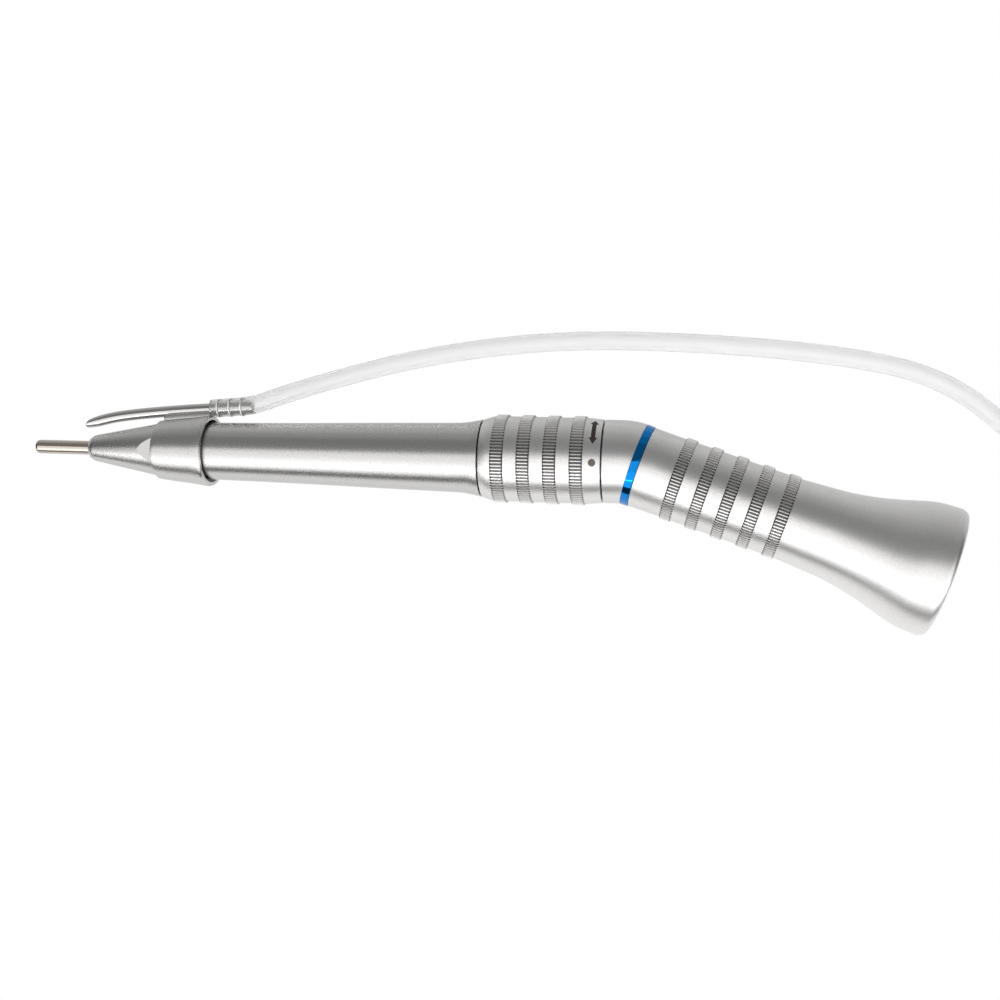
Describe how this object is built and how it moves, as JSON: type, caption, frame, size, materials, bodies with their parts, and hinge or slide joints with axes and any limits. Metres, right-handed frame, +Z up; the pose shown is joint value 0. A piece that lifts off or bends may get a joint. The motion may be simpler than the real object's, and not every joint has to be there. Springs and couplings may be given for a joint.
{
  "type": "angled surgical straight handpiece",
  "caption": "Slim angled dental surgical handpiece with knurled twist-lock ring, blue ring, flared motor socket, tool shank, irrigation clip and coiled silicone hose.",
  "frame": {"origin": "centre of the footprint of the handpiece and its irrigation clip as it lies on its side, on the surface under it (the hose past the barb is left out)", "axes": "+X from the tool tip towards the motor end, level, above the front axis; +Y across, towards the irrigation tube; +Z up"},
  "size_m": [0.2142, 0.0712, 0.0203],
  "materials": {
    "blasted_metal": "satin bead-blasted stainless steel",
    "grip_metal": "satin bead-blasted stainless steel, knurled bands",
    "blue_anodised": "polished blue anodised aluminium",
    "polished_steel": "polished stainless steel tube",
    "tool_steel": "ground tool steel",
    "bearing_steel": "ground bearing steel",
    "hardened_steel": "hardened machined steel",
    "spring_steel": "drawn spring wire",
    "brass": "turned brass",
    "seal_rubber": "nitrile rubber",
    "silicone_hose": "translucent milky silicone",
    "connector_plastic": "moulded translucent polycarbonate",
    "tie_rubber": "soft white rubber band"
  },
  "bodies": {
    "handpiece": {"nose_cone": "blasted_metal", "bur_guide": "brass", "nose_seal": "seal_rubber", "front_barrel": "blasted_metal", "preload_washer": "spring_steel", "front_bearing_outer": "bearing_steel", "second_bearing_outer": "bearing_steel", "middle_bearing_outer": "bearing_steel", "cam_housing": "hardened_steel", "barrel_seal": "seal_rubber", "return_spring": "spring_steel", "elbow_housing": "grip_metal", "colour_ring": "blue_anodised", "rear_grip": "grip_metal", "rear_carrier": "hardened_steel", "drive_bearing_outer": "bearing_steel", "tail_bearing_outer": "bearing_steel", "coupling_sleeve": "hardened_steel", "retaining_ring": "spring_steel"},
    "lock_ring": {"twist_ring": "grip_metal", "cam_sleeve": "hardened_steel"},
    "push_sleeve": {"push_sleeve": "hardened_steel", "cam_pins": "hardened_steel"},
    "spindle": {"spindle": "hardened_steel", "front_bearing_inner": "bearing_steel", "front_bearing_balls": "bearing_steel", "second_bearing_inner": "bearing_steel", "second_bearing_balls": "bearing_steel", "middle_bearing_inner": "bearing_steel", "middle_bearing_balls": "bearing_steel", "spring_seat": "hardened_steel", "chuck_spring": "spring_steel", "spindle_circlip": "spring_steel", "spindle_gear": "hardened_steel"},
    "collet": {"collet": "hardened_steel", "drawbar": "hardened_steel", "cross_pin": "hardened_steel", "thrust_collar": "hardened_steel"},
    "tool": {"tool_shank": "tool_steel"},
    "drive_shaft": {"drive_shaft": "hardened_steel", "drive_gear": "hardened_steel", "drive_circlip": "spring_steel", "drive_dog": "hardened_steel", "drive_bearing_inner": "bearing_steel", "drive_bearing_balls": "bearing_steel", "tail_bearing_inner": "bearing_steel", "tail_bearing_balls": "bearing_steel"},
    "irrigation": {"irrigation_clip": "blasted_metal", "irrigation_tube": "polished_steel", "hose_barb": "polished_steel", "hose_cuff": "silicone_hose", "hose_run": "silicone_hose", "hose_coil": "silicone_hose", "hose_tail": "silicone_hose", "hose_tie": "tie_rubber", "hose_connector": "connector_plastic"}
  },
  "joints": [
    {"name": "ring_turn", "type": "hinge", "parent": "handpiece", "child": "lock_ring", "pos_m": [0.01196, 0.00813, 0.00723], "axis": [0.9997, 0.0023, 0.0223], "range_deg": [0, 45]},
    {"name": "sleeve_push", "type": "slide", "parent": "handpiece", "child": "push_sleeve", "axis": [-0.9997, -0.0023, -0.0223], "range_m": [0, 0.0008]},
    {"name": "drive_spin", "type": "hinge", "parent": "handpiece", "child": "drive_shaft", "pos_m": [0.03627, 0.0045, 0.00816], "axis": [0.9508, -0.3051, 0.0534], "continuous": true},
    {"name": "spindle_spin", "type": "hinge", "parent": "handpiece", "child": "spindle", "pos_m": [-0.02603, 0.00804, 0.00638], "axis": [0.9997, 0.0023, 0.0223], "continuous": true},
    {"name": "collet_push", "type": "slide", "parent": "spindle", "child": "collet", "axis": [-0.9997, -0.0023, -0.0223], "range_m": [0, 0.00081], "deforming": ["chuck_spring"]},
    {"name": "tool_out", "type": "slide", "parent": "collet", "child": "tool", "axis": [-0.9997, -0.0023, -0.0223], "range_m": [0, 0.035]},
    {"name": "clip_off", "type": "slide", "parent": "handpiece", "child": "irrigation", "axis": [-0.9997, -0.0023, -0.0223], "range_m": [0, 0.022]}
  ],
  "couplings": [
    {"joint": "ring_turn", "follows": "sleeve_push", "rad_per_m": 981.75},
    {"joint": "collet_push", "follows": "sleeve_push", "ratio": 1},
    {"joint": "spindle_spin", "follows": "drive_spin", "ratio": 1}
  ]
}
